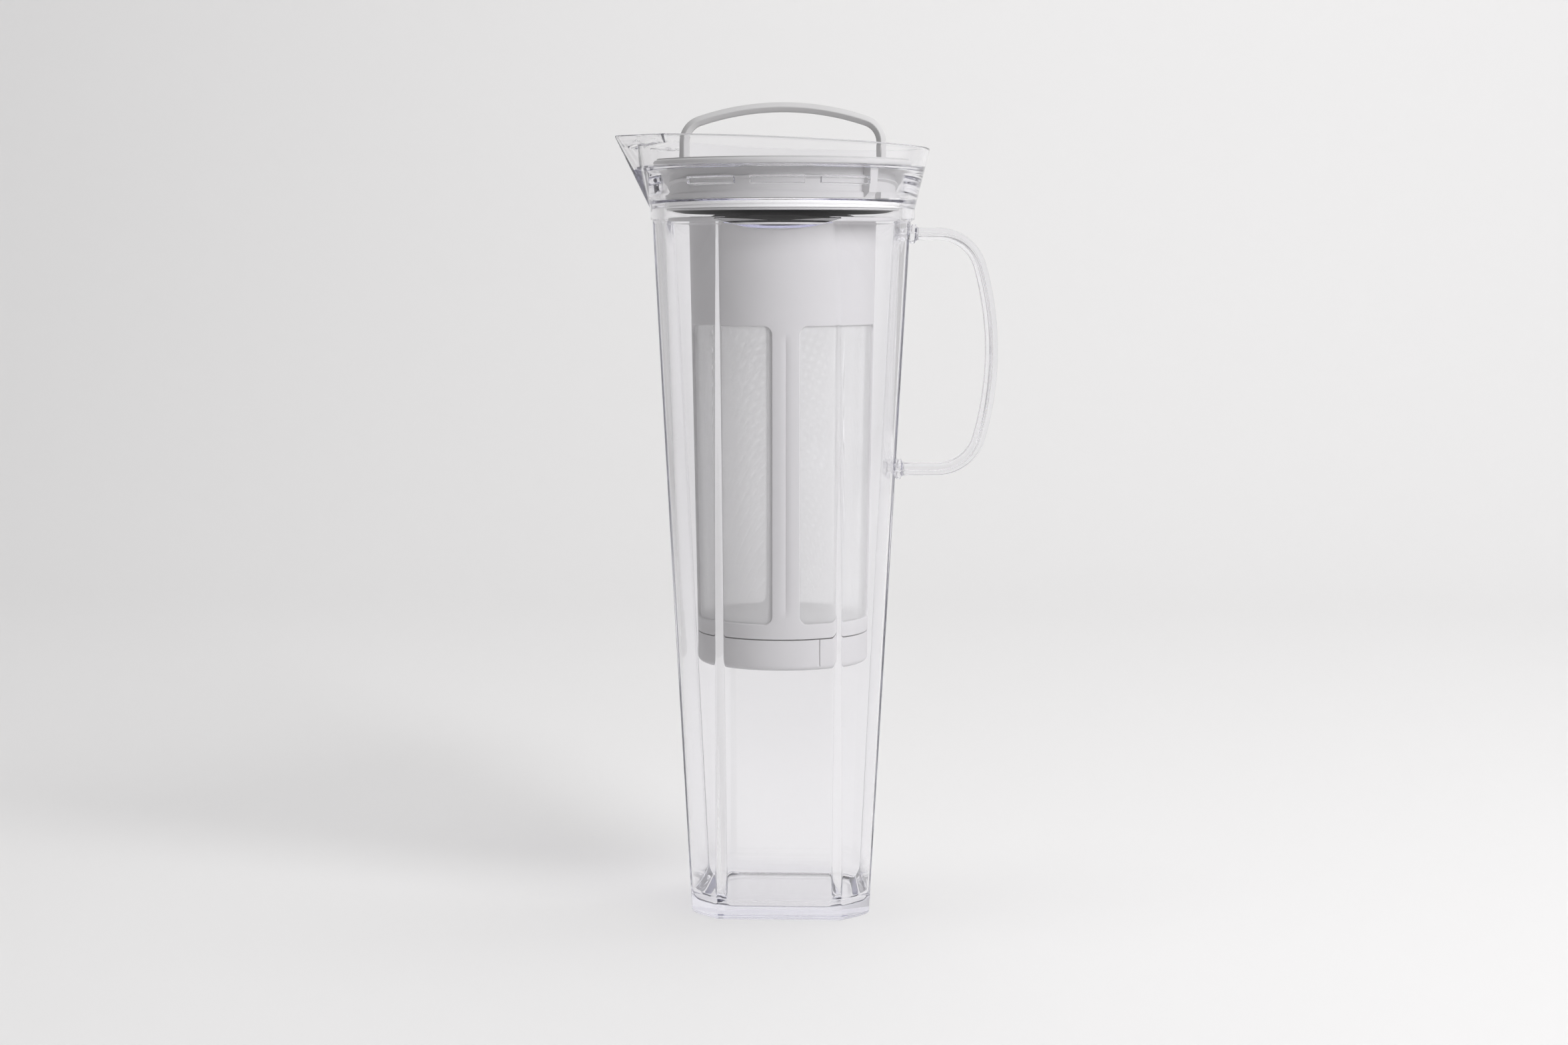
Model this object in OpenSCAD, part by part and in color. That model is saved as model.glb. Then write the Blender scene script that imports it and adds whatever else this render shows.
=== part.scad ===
// Cold brew jug: a clear square jug with a round collar and spout, a twist-on lid and a hanging strainer.
// Millimetres, +Z up. Origin at the middle of the base, spout toward -X, handle toward +X, front toward -Y.

/* [Jug] */
// Height of the waist, where the four-sided body meets the round collar
waist_h = 258; // [220:1:300]
// Width of the base across its side walls
base_w = 66; // [60:0.5:72]
// Depth of the base across its front and back walls
base_d = 64; // [60:0.5:70]
// Diameter of the rounded corners at the base
corner_d = 78.8; // [76:0.2:82]
// Diameter of the waist
waist_d = 98; // [92:0.5:106]
// Width of the flat front and back panels just under the waist
panel_w = 44.8; // [36:0.2:52]
// Width of the flat side walls just under the waist
side_w = 25; // [12:0.5:34]
// Thickness of the flat walls at the base
base_wall = 2.7; // [2:0.1:3.4]
// Thickness of the rounded corners at the base
corner_wall = 4.4; // [3:0.1:5.6]
// Thickness of the wall at the waist
waist_wall = 5.1; // [4:0.1:6.5]
// Thickness of the floor
floor_t = 4; // [2.5:0.1:8]
// Radius of the edge round the underside
base_edge = 3.4; // [1:0.1:6]
// Radius between the floor and the inner walls
floor_edge = 6; // [2:0.5:10]
// Height over which the flat panels run out into the waist
panel_runout = 4.2; // [3:0.1:7]
// Height of the full round band left under the waist
waist_band = 0.5; // [0.3:0.1:2]
// Depth of the strainer's seat below the waist
seat_drop = 2; // [1.5:0.1:3]

/* [Collar and spout] */
// Height of the sealing land above the waist
land_h = 6.4; // [5:0.1:10]
// Radial step from the sealing land out to the bore of the collar
land_step = 2.3; // [1.8:0.1:4]
// Height of the ledge that carries the lid, above the waist
ledge_h = 18.2; // [16:0.2:26]
// Height of the rim on the jug's axis, above the ledge
rim_h = 9.5; // [5:0.5:16]
// Slope of the rim, down from the spout to the handle
rim_slope = 2.4; // [0:0.1:5]
// Height of the straight neck between the waist and the flare
neck_h = 3.5; // [1:0.1:5]
// Outward flare of the collar
collar_flare = 14; // [6:0.5:18]
// Thickness of the wall above the ledge
rim_wall = 1.8; // [1.2:0.1:3]
// Reach of the spout's tip past the rim
spout_reach = 7.4; // [4:0.2:14]
// Width of the spout across its roots at the rim
spout_w = 40; // [24:1:50]
// Wall of the spout, measured toward the handle
spout_wall = 2.25; // [1.6:0.05:3]
// Height of the spout's foot above the waist
spout_lift = 1.2; // [0.8:0.1:5]
// Height of a locking lug
lug_h = 3.2; // [2:0.1:4]
// Radial step from the sealing land out to the lugs
lug_step = 0.4; // [0.2:0.1:0.8]
// Clear height between the sealing land and the lugs
lug_lift = 4; // [3.4:0.1:6]
// Angle that a row of locking lugs covers
lug_span = 85; // [60:1:96]
// Number of bars in a row of locking lugs
lug_bars = 3; // [1:1:5]
// Angle of the gap between two bars
lug_gap = 7.5; // [3:0.5:12]

/* [Handle] */
// Drop of the upper arm below the waist
handle_drop = 6; // [4:0.5:20]
// Distance between the two arms
handle_span = 87; // [70:0.2:110]
// Outer reach of the handle from the jug's axis
handle_reach = 79.8; // [68:0.2:95]
// Thickness of the handle's strap
handle_t = 4.6; // [3:0.1:7]
// Width of the handle's strap
handle_w = 11; // [7:0.5:18]
// Radius of the handle's bends
handle_bend = 16; // [10:0.5:22]
// Radius of the long bow of the grip
handle_bow = 115; // [80:5:200]
// Length of the thickened root outside the wall
root_len = 2.2; // [1:0.2:6]
// How much thicker the root is than the strap, on each side
root_swell = 1.2; // [0.4:0.1:2]
// Wall left at the bottom of a handle's socket
socket_floor = 1.3; // [0.8:0.1:2]

/* [Strainer] */
// Depth of the strainer below its seat, to the underside of its cap
strainer_h = 163; // [120:1:190]
// Thickness of the strainer's flange
flange_t = 1.8; // [1.2:0.1:3]
// Width of the flange outside the sleeve
flange_w = 7.9; // [6:0.1:11]
// Wall of the strainer's sleeve
sleeve_wall = 2; // [1.4:0.1:3]
// Height of the solid sleeve above the windows
sleeve_h = 37.4; // [20:0.2:60]
// Width of the ribs between the windows
rib_w = 10.4; // [6:0.2:16]
// Radius of the windows' corners
window_r = 3; // [1:0.2:5]
// Turn of the ribs from the front, toward the handle
rib_turn = 4.4; // [0:0.1:45]
// Height of the ring under the windows
ring_h = 5.5; // [4:0.1:10]
// Height of the twist-off cap
cap_h = 11.4; // [9:0.1:18]
// Thickness of the cap's floor
cap_floor = 2; // [1.4:0.1:3]
// Radius of the cap's lower edge
cap_edge = 2; // [0.6:0.1:3]
// Thickness of the mesh
mesh_t = 0.6; // [0.4:0.1:1]
// Angle that the cap turns to come free
cap_turn = 30; // [15:1:50]
// Height of the nubs that hold the cap
nub_h = 2; // [1.2:0.1:2.4]
// Angle that a nub covers
nub_span = 10; // [6:1:16]
// Angle of the mark on the cap, from the front toward the handle
mark_at = 27; // [0:1:60]
// Width and depth of the mark on the cap
mark_w = 1; // [0.6:0.1:1.6]

/* [Lid] */
// Thickness of the lid's top plate
plate_t = 2.8; // [2:0.1:4]
// Rise of the plate's crown
plate_crown = 1.2; // [0.4:0.1:2.5]
// How far the plate laps over the ledge
plate_lap = 1.6; // [1:0.1:3]
// Wall of the lid's plug
plug_wall = 3; // [2.2:0.1:4]
// Depth of the groove that the locking lugs run in
groove_deep = 0.8; // [0.4:0.1:1.4]
// Thickness of the bottom plate
under_t = 1.4; // [1:0.1:2]
// Depth of the groove for the sealing ring
ring_groove = 2.2; // [1.6:0.1:3]
// Height of the sealing ring
seal_h = 3.2; // [2.4:0.1:4]
// Width of the stop rib
stop_w = 3.8; // [2.4:0.1:4.2]
// Angle that a locking cam covers
cam_span = 11; // [8:1:16]
// Angle between the stop rib and the cam beside it
cam_gap = 2.6; // [1:0.2:6]
// Height of the carrying loop above the plate's edge
loop_h = 21; // [16:0.5:32]
// Span of the carrying loop, outside its legs
loop_w = 76.4; // [60:0.2:78]
// Thickness of the loop
loop_t = 3.6; // [2.6:0.1:5]
// Width of the loop's strap
loop_strap = 5.4; // [5:0.1:9]
// Radius of the loop's shoulders
loop_bend = 10; // [6:0.5:14]
// Radius of the loop's long bow
loop_bow = 97; // [70:1:150]
// Thickness of the foot that holds a leg under the plate
foot_t = 1.6; // [1:0.1:2.4]

/* [Fits] */
// Play between pieces that move on each other
play = 0.3; // [0.2:0.05:0.5]
// Room round pieces that are fixed in each other
bond = 0.1; // [0.05:0.05:0.2]
// Room between the strainer and the jug's front and back walls
hang_room = 0.9; // [0.6:0.1:2]
// Room round the strainer's flange
flange_room = 1.4; // [0.8:0.1:2]

/* [Hidden] */
$fn = 96;
// A size well beyond the object, for cuts that go right through
far = 400;
// A small overlap that makes two solids one
bite = 0.5;
// How far the spout and the collar are drawn past the rim before it is cut
past_rim = 2;

// Radii of the waist and of the fits inside the collar
waist_r = waist_d / 2;
land_r = waist_r - waist_wall;
bore_r = land_r + land_step;
lug_r = land_r + lug_step;
band_r = lug_r - 3 * play;
groove_r = band_r - groove_deep;
cam_r = bore_r - 2 * play;
plate_r = bore_r + plate_lap;
seal_r = land_r - play;
ring_core_r = band_r - ring_groove;
plug_in_r = groove_r - plug_wall;

// The stop rib stands just past the end of a row of lugs, and this is the angle that it covers
stop_at = lug_span / 2 + asin(play / cam_r);
stop_span = 2 * asin(stop_w / 2 / cam_r);

// Heights of the collar and the lid
seat_z = waist_h - seat_drop;
land_z = waist_h + land_h;
flare_z = waist_h + neck_h;
lug_z = land_z + lug_lift;
ledge_z = waist_h + ledge_h;
rim_z = ledge_z + rim_h;
plate_z = ledge_z + play;
plate_top = plate_z + plate_t;
band_top = lug_z - 2 * play;
band_low = land_z + play;
seal_top = band_low - play / 2;
seal_low = seal_top - seal_h;
under_top = seal_low - play / 2;
under_z = under_top - under_t;

// The flat walls are a little thinner than the round waist
flat_wall = waist_wall - lug_step;
// Half widths across the flat walls at the waist, outside and inside
panel_y = sqrt(waist_r ^ 2 - (panel_w / 2) ^ 2);
side_x = sqrt(waist_r ^ 2 - (side_w / 2) ^ 2);
seat_y = panel_y - flat_wall;
side_in_x = side_x - flat_wall;
panel_run = (waist_r - panel_y) / panel_runout;

function at_height(low, high, z) = low + (high - low) * z / waist_h;
function side_out(z) = at_height(base_w / 2, side_x, z);
function side_in(z) = at_height(base_w / 2 - base_wall, side_in_x, z);
function front_in(z) = at_height(base_d / 2 - base_wall, seat_y, z);
function corner_in(z) = at_height(corner_d / 2 - corner_wall, land_r, z);
function collar_r(z) = waist_r + (z - flare_z) * tan(collar_flare);

// Heights of the handle's two arms
handle_top = waist_h - handle_drop;
handle_low = handle_top - handle_span;

// The strainer hangs from the seat and clears the front and back walls
strainer_z = seat_z + play;
flange_top = strainer_z + flange_t;
flange_r = land_r - flange_room;
cap_z = strainer_z - strainer_h;
cap_top = cap_z + cap_h;
ring_z = cap_top + play;
window_z = ring_z + ring_h;
window_top = strainer_z - sleeve_h;
cap_r = front_in(cap_z) - hang_room;
sleeve_top_r = flange_r - flange_w;
spigot_r = cap_r - sleeve_wall - play;
spigot_in_r = spigot_r - sleeve_wall;
spigot_z = cap_z + (cap_h + cap_floor) / 3;
nub_z = (spigot_z + ring_z) / 2 - nub_h / 2;

function sleeve_r(z) = cap_r + (sleeve_top_r - cap_r) * (z - ring_z) / (strainer_z - ring_z);
function mesh_r(z) = sleeve_r(z) - sleeve_wall / 2;

// A flat shape with slanting sides and round lower corners: half widths low_w and high_w, from z0 to z1
module tapered(low_w, high_w, z0, z1, edge) {
    lean = atan((high_w - low_w) / (z1 - z0));
    inset = low_w - edge * (1 - sin(lean)) / cos(lean);
    side = [inset + edge * cos(lean), z0 + edge - edge * sin(lean)];
    polygon([[-inset, z0], [inset, z0], side, [high_w, z1], [-high_w, z1], [-side[0], side[1]]]);
    for (s = [-1, 1]) translate([s * inset, z0 + edge]) circle(edge);
}

// The round form whose corners the body keeps, and the pairs of flat walls that cut it
module round_form(low_r, high_r, z0, z1, edge)
    rotate_extrude() intersection() {
        tapered(low_r, high_r, z0, z1, edge);
        square([far, far]);
    }
module side_walls(low_w, high_w, z0, z1, edge)
    rotate([90, 0, 0]) linear_extrude(far, center = true) tapered(low_w, high_w, z0, z1, edge);
module panel_walls(low_w, high_w, z0, z1, edge)
    rotate([90, 0, 90]) linear_extrude(far, center = true) tapered(low_w, high_w, z0, z1, edge);

// The cone on which the flat walls run out, a little below the waist so that a full round band is left there
module runout() {
    wide_r = waist_r + waist_band * panel_run;
    translate([0, 0, waist_h - wide_r / panel_run]) cylinder(h = wide_r / panel_run, r1 = 0, r2 = wide_r);
}

module body_form()
    intersection() {
        round_form(corner_d / 2, waist_r, 0, waist_h, base_edge);
        union() {
            side_walls(base_w / 2, side_x, 0, waist_h, base_edge);
            runout();
        }
        union() {
            panel_walls(base_d / 2, panel_y, 0, waist_h, base_edge);
            runout();
        }
    }

module cavity()
    intersection() {
        round_form(corner_in(floor_t), corner_in(seat_z), floor_t, seat_z, floor_edge);
        side_walls(side_in(floor_t), side_in(seat_z), floor_t, seat_z, floor_edge);
        panel_walls(front_in(floor_t), front_in(seat_z), floor_t, seat_z, floor_edge);
    }

// Everything above the rim's slope
module above_rim()
    translate([0, 0, rim_z]) rotate([0, rim_slope, 0]) translate([-far / 2, -far / 2, 0]) cube(far);

// A pinched spout: an upside-down pyramid from its foot on the collar to the tip, drawn past the rim
module spout(inset, foot_r, foot_z) {
    grow = 1.3;
    tip_z = rim_z + past_rim;
    top_r = collar_r(tip_z);
    foot = [-foot_r, 0, foot_z];
    tip = [-top_r - spout_reach + inset, 0, tip_z];
    root = [-sqrt(top_r ^ 2 - (spout_w / 2) ^ 2) + inset, spout_w / 2, tip_z];
    corners = [tip, root, [0, root[1], root[2]], [0, -root[1], root[2]], [root[0], -root[1], root[2]]];
    polyhedron(
        points = [foot, for (p = corners) foot + grow * (p - foot)],
        faces = [[1, 2, 3, 4, 5], [0, 2, 1], [0, 3, 2], [0, 4, 3], [0, 5, 4], [0, 1, 5]]);
}

// A bar bent round the axis, from one angle to another; 0 is the front, and angles run toward the handle
module bent_bar(from, to, in_r, out_r, z, h)
    rotate([0, 0, from - 90]) rotate_extrude(angle = to - from)
        translate([in_r, z]) square([out_r - in_r, h]);

module locking_lugs() {
    bar = (lug_span - (lug_bars - 1) * lug_gap) / lug_bars;
    for (side = [0, 180], k = [0 : lug_bars - 1]) {
        from = side - lug_span / 2 + k * (bar + lug_gap);
        bent_bar(from, from + bar, lug_r, bore_r + bite, lug_z, lug_h);
    }
}

// A length of the collar's cone, inset from its outside
module collar_cone(z0, z1, inset)
    translate([0, 0, z0]) cylinder(h = z1 - z0, r1 = collar_r(z0) - inset, r2 = collar_r(z1) - inset);

module collar_form()
    difference() {
        union() {
            translate([0, 0, waist_h]) cylinder(h = neck_h, r = waist_r);
            collar_cone(flare_z, rim_z + 5 * past_rim, 0);
            spout(0, waist_r - play, waist_h + spout_lift);
        }
        above_rim();
        collar_cone(ledge_z, rim_z + 6 * past_rim, rim_wall);
        spout(spout_wall, collar_r(ledge_z) - rim_wall - play, ledge_z + play);
    }

// A flat strap with round edges, its thickness along x
module strap(t, w) {
    square([t, w - t], center = true);
    for (s = [-1, 1]) translate([0, s * (w - t) / 2]) circle(d = t);
}
module strap_along_x(x0, x1, z, t, w)
    translate([x0, 0, z]) rotate([0, 90, 0]) linear_extrude(x1 - x0) strap(t, w);

// Points of an arc in the x-z plane, and the outline of a strap's section with round edges
function arc(c, r, from, to, steps) =
    [for (k = [0 : steps]) let (a = from + (to - from) * k / steps) [c[0] + r * cos(a), c[1] + r * sin(a)]];
function strap_outline(t, w) = let (steps = 8) [
    for (k = [0 : steps]) let (a = 180 * k / steps) [cos(a) * t / 2, (w - t) / 2 + sin(a) * t / 2],
    for (k = [0 : steps]) let (a = 180 + 180 * k / steps) [cos(a) * t / 2, -(w - t) / 2 + sin(a) * t / 2]];

// A strap carried along a path in the x-z plane, square to it all the way
module bent_strap(path, t, w) {
    outline = strap_outline(t, w);
    n = len(outline);
    last = len(path) - 1;
    function heading(k) = let (d = path[min(k + 1, last)] - path[max(k - 1, 0)]) d / norm(d);
    ring_points = [for (k = [0 : last]) let (h = heading(k)) for (q = outline)
        [path[k][0] - h[1] * q[0], q[1], path[k][1] + h[0] * q[0]]];
    walls = [for (k = [0 : last - 1], j = [0 : n - 1]) let (a = k * n + j, b = k * n + (j + 1) % n)
        each [[a, b, a + n], [b, b + n, a + n]]];
    near_end = [for (j = [n - 1 : -1 : 0]) j];
    far_end = [for (j = [0 : n - 1]) last * n + j];
    polyhedron(points = ring_points, faces = concat(walls, [near_end, far_end]));
}

module handle_sockets()
    for (z = [handle_top, handle_low])
        strap_along_x(side_in(z) + socket_floor, far, z, handle_t + 2 * bond, handle_w + 2 * bond);

module jug_body()
    color([0.86, 0.89, 0.93, 0.4]) difference() {
        union() {
            difference() {
                union() {
                    body_form();
                    collar_form();
                }
                cavity();
                translate([0, 0, seat_z]) cylinder(h = land_z - seat_z, r = land_r);
                translate([0, 0, land_z]) cylinder(h = ledge_z - land_z, r = bore_r);
            }
            locking_lugs();
        }
        intersection() {
            handle_sockets();
            translate([0, -far / 2, 0]) cube([far, far, waist_h]);
        }
    }

module handle() {
    mid_z = (handle_top + handle_low) / 2;
    bow_c = [handle_reach - handle_t / 2 - handle_bow, mid_z];
    bend_z = (handle_top - handle_low) / 2 - handle_bend;
    bend_x = bow_c[0] + sqrt((handle_bow - handle_bend) ^ 2 - bend_z ^ 2);
    turn = asin(bend_z / (handle_bow - handle_bend));
    tip_top = side_in(handle_top) + socket_floor + bond;
    tip_low = side_in(handle_low) + socket_floor + bond;
    bow_turn = turn * 0.8;
    path = concat([[tip_top, handle_top]],
        arc([bend_x, mid_z + bend_z], handle_bend, 90, turn, 10),
        arc(bow_c, handle_bow, bow_turn, -bow_turn, 8),
        arc([bend_x, mid_z - bend_z], handle_bend, -turn, -90, 10),
        [[tip_low, handle_low]]);
    color([0.88, 0.9, 0.94, 0.4]) {
        bent_strap(path, handle_t, handle_w);
        for (z = [handle_top, handle_low]) difference() {
            strap_along_x(side_in(z), side_out(z) + root_len, z,
                handle_t + 2 * root_swell, handle_w + 2 * root_swell);
            side_walls(base_w / 2, side_x, 0, waist_h, base_edge);
        }
    }
}

// A rectangle with two round corners on its inner side, from x0 outward and z0 to z1
module window_outline(x0, z0, z1, r) {
    translate([x0 + r, z0]) square([far, z1 - z0]);
    translate([x0, z0 + r]) square([far, z1 - z0 - 2 * r]);
    for (z = [z0 + r, z1 - r]) translate([x0 + r, z]) circle(r);
}

// The opening of one window between two ribs, in the quarter toward +X and +Y
module window(room)
    intersection() {
        rotate([90, 0, 0]) linear_extrude(far, center = true)
            window_outline(rib_w / 2 + room, window_z + room, window_top - room, window_r);
        rotate([90, 0, 90]) linear_extrude(far, center = true)
            window_outline(rib_w / 2 + room, window_z + room, window_top - room, window_r);
    }

// Bayonet slots through the spigot: a run for the cap's nubs and a way in from below at its end
module bayonet_slots() {
    half = nub_span / 2;
    run_room = 2;
    entry_room = 1;
    for (side = [0, 180]) {
        out = side + cap_turn;
        bent_bar(side - half - run_room, out + half + run_room, spigot_in_r - bite, spigot_r + bite,
            nub_z - play, nub_h + 2 * play);
        bent_bar(out - half - entry_room, out + half + entry_room, spigot_in_r - 2 * bite,
            spigot_r + 2 * bite, spigot_z - bite, nub_z + nub_h / 2 - spigot_z + bite);
    }
}

module strainer_frame()
    color([0.8, 0.81, 0.83]) difference() {
        rotate_extrude() polygon([
            [spigot_in_r, spigot_z],
            [spigot_r, spigot_z],
            [spigot_r, ring_z],
            [cap_r, ring_z],
            [sleeve_top_r, strainer_z],
            [flange_r, strainer_z],
            [flange_r, flange_top],
            [sleeve_top_r - sleeve_wall, flange_top],
            [sleeve_r(window_z) - sleeve_wall, window_z],
            [spigot_in_r, ring_z]]);
        for (k = [0 : 3]) rotate([0, 0, 90 * k + rib_turn]) window(0);
        bayonet_slots();
    }

// One panel of mesh, in the window of the quarter that starts at the given turn
module mesh_panel(turn)
    color([0.86, 0.87, 0.88, 0.8]) rotate([0, 0, turn + rib_turn]) intersection() {
        window(bond);
        rotate_extrude() polygon([
            [mesh_r(window_z) - mesh_t / 2, window_z],
            [mesh_r(window_z) + mesh_t / 2, window_z],
            [mesh_r(window_top) + mesh_t / 2, window_top],
            [mesh_r(window_top) - mesh_t / 2, window_top]]);
    }

module strainer_cap() {
    in_r = spigot_r + play;
    color([0.8, 0.81, 0.83]) {
        difference() {
            rotate_extrude() difference() {
                intersection() {
                    tapered(cap_r, cap_r, cap_z, cap_top, cap_edge);
                    square([far, far]);
                }
                translate([0, cap_z + cap_floor]) square([in_r, cap_h]);
            }
            rotate([0, 0, mark_at]) translate([0, -cap_r, cap_z + cap_edge + cap_h / 2])
                cube([mark_w, mark_w, cap_h], center = true);
        }
        for (side = [0, 180])
            bent_bar(side - nub_span / 2, side + nub_span / 2, spigot_in_r + play, in_r + bite, nub_z, nub_h);
    }
}

// The sealing ring: a flat band with two round lips that meet the land
module lid_gasket() {
    core = ring_core_r + play;
    lip = seal_h / 4;
    color([0.95, 0.95, 0.95]) rotate_extrude() {
        translate([core, seal_low]) square([seal_r - lip - core, seal_h]);
        for (z = [seal_low + lip, seal_top - lip]) translate([seal_r - lip, z]) circle(lip);
    }
}

module loop_slots(room)
    for (s = [-1, 1])
        translate([s * (loop_w - loop_t) / 2, 0, plate_z - bite])
            linear_extrude(plate_t + plate_crown + 2 * bite) strap(loop_t + 2 * room, loop_strap + 2 * room);

// The upper shell of the lid: crowned plate, groove for the lugs, band with cams and stops, neck for the ring
module lid_cap() {
    crown_r = (plate_r ^ 2 + plate_crown ^ 2) / (2 * plate_crown);
    soft = plate_t / 2;
    color([0.82, 0.83, 0.85]) difference() {
        union() {
            rotate_extrude() {
                difference() {
                    union() {
                        translate([0, plate_z]) square([plate_r - soft, plate_t]);
                        translate([plate_r - soft, plate_z + soft]) circle(soft);
                        intersection() {
                            translate([0, plate_top + plate_crown - crown_r]) circle(crown_r, $fn = 360);
                            translate([0, plate_z + soft]) square([plate_r - soft, plate_t + plate_crown]);
                        }
                    }
                    translate([-far, 0]) square([far, far]);
                }
                translate([plug_in_r, band_top - bite])
                    square([groove_r - plug_in_r, plate_z - band_top + 2 * bite]);
                translate([plug_in_r, band_low]) square([band_r - plug_in_r, band_top - band_low]);
                translate([plug_in_r, under_top])
                    square([ring_core_r - plug_in_r, band_low - under_top + bite]);
            }
            for (side = [0, 180]) {
                rib = side + stop_at;
                cam = rib + stop_span + cam_gap;
                bent_bar(rib, rib + stop_span, groove_r - bite, cam_r, band_top - bite,
                    plate_z - band_top + 2 * bite);
                bent_bar(cam, cam + cam_span, band_r - bite, cam_r, band_low + play,
                    band_top - band_low - play);
            }
        }
        loop_slots(bond);
    }
}

// The bottom plate of the lid, with the ring that goes up inside the plug
module lid_base()
    color([0.82, 0.83, 0.85]) {
        translate([0, 0, under_z]) cylinder(h = under_t, r = seal_r - 2 * play);
        difference() {
            translate([0, 0, under_top - bite]) cylinder(h = land_h + bite, r = plug_in_r - bond);
            translate([0, 0, under_top]) cylinder(h = land_h + bite, r = plug_in_r - bond - under_t);
        }
    }

// The carrying loop: a strap bent to a low arch, with a foot under the plate on each leg
module lid_loop() {
    leg_x = (loop_w - loop_t) / 2;
    top_z = plate_top + loop_h;
    bow_c = [0, top_z - loop_t / 2 - loop_bow];
    bend_r = loop_bend - loop_t / 2;
    bend_x = leg_x - bend_r;
    bend_z = bow_c[1] + sqrt((loop_bow - bend_r) ^ 2 - bend_x ^ 2);
    turn = acos(bend_x / (loop_bow - bend_r));
    bow_turn = turn + (90 - turn) / 8;
    foot_z = plate_z - bond - foot_t;
    path = concat([[leg_x, foot_z]],
        arc([bend_x, bend_z], bend_r, 0, turn, 8),
        arc(bow_c, loop_bow, bow_turn, 180 - bow_turn, 12),
        arc([-bend_x, bend_z], bend_r, 180 - turn, 180, 8),
        [[-leg_x, foot_z]]);
    color([0.84, 0.85, 0.86]) {
        bent_strap(path, loop_t, loop_strap);
        for (s = [-1, 1]) translate([s * (leg_x - bite), 0, foot_z]) linear_extrude(foot_t)
            square([loop_t, loop_strap + 2 * foot_t], center = true);
    }
}

jug_body();
handle();
strainer_frame();
mesh_panel(270);  // mesh_front_right
mesh_panel(0);  // mesh_back_right
mesh_panel(90);  // mesh_back_left
mesh_panel(180);  // mesh_front_left
strainer_cap();
lid_gasket();
lid_cap();
lid_base();
lid_loop();
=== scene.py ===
import math

import bmesh
import bpy
import numpy as np
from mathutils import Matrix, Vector


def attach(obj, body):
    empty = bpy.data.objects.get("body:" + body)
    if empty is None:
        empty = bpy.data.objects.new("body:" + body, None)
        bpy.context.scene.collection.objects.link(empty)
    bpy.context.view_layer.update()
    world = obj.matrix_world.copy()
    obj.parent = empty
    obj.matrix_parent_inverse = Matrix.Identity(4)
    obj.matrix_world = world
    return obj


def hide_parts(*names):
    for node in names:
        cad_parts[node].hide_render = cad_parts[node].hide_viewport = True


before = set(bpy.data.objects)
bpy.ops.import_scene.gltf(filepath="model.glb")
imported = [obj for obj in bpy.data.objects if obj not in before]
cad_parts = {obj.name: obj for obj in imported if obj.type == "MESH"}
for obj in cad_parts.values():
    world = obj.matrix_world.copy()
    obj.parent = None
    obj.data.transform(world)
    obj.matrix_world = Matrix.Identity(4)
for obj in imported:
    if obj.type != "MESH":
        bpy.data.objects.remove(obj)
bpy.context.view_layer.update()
mm = 0.001
print("frame loaded")


# an outline whose corners (x, y, radius) turn into arcs: each arc starts and ends radius / tan(half angle) from
# its corner
def roundedOutline(corners, steps=6):
    spec = np.array(corners, float)
    points, radii = spec[:, :2], spec[:, 2]
    toLast = np.roll(points, 1, axis=0) - points
    toNext = np.roll(points, -1, axis=0) - points
    toLast /= np.linalg.norm(toLast, axis=1, keepdims=True)
    toNext /= np.linalg.norm(toNext, axis=1, keepdims=True)
    half = 0.5 * np.arccos(np.clip((toLast * toNext).sum(1), -1, 1))
    middle = toLast + toNext
    middle /= np.maximum(np.linalg.norm(middle, axis=1, keepdims=True), 1e-9)
    centre = points + middle * (radii / np.sin(half))[:, None]
    start = points + toLast * (radii / np.tan(half))[:, None] - centre
    end = points + toNext * (radii / np.tan(half))[:, None] - centre
    turn = np.arctan2(start[:, 0] * end[:, 1] - start[:, 1] * end[:, 0], (start * end).sum(1))
    a = turn[:, None] * np.linspace(0, 1, steps)[None, :]
    x = centre[:, :1] + start[:, :1] * np.cos(a) - start[:, 1:] * np.sin(a)
    y = centre[:, 1:] + start[:, :1] * np.sin(a) + start[:, 1:] * np.cos(a)
    line = np.stack([x.ravel(), y.ravel()], axis=1)
    keep = np.r_[True, np.linalg.norm(np.diff(line, axis=0), axis=1) > 1e-6]
    return line[keep]


# faces of a grid of rows and columns, closed round the columns, and round the rows too where asked
def gridQuads(rows, cols, closeRows=False, closeCols=True):
    i = np.arange(rows if closeRows else rows - 1)[:, None]
    j = np.arange(cols if closeCols else cols - 1)[None, :]
    up, side = (i + 1) % rows, (j + 1) % cols
    return np.stack([i * cols + j, i * cols + side, up * cols + side, up * cols + j], axis=-1).reshape(-1, 4)


# vertices in millimetres and faces become a piece that rides on a body and stands for a CAD node
def putPiece(name, verts, faces, body, material, node, sharp):
    mesh = bpy.data.meshes.new(name)
    mesh.from_pydata((np.asarray(verts).reshape(-1, 3) * mm).tolist(), [], [list(map(int, f)) for f in faces])
    work = bmesh.new()
    work.from_mesh(mesh)
    bmesh.ops.remove_doubles(work, verts=work.verts, dist=0.002 * mm)
    bmesh.ops.dissolve_degenerate(work, edges=work.edges, dist=0.0001 * mm)
    work.to_mesh(mesh)
    work.free()
    mesh.polygons.foreach_set("use_smooth", np.ones(len(mesh.polygons), bool))
    mesh.set_sharp_from_angle(angle=math.radians(sharp))
    mesh.materials.append(material)
    piece = bpy.data.objects.new(name, mesh)
    bpy.context.scene.collection.objects.link(piece)
    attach(piece, body)
    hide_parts(node)
    print("piece", name, len(mesh.polygons), "faces")
    return piece


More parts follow.
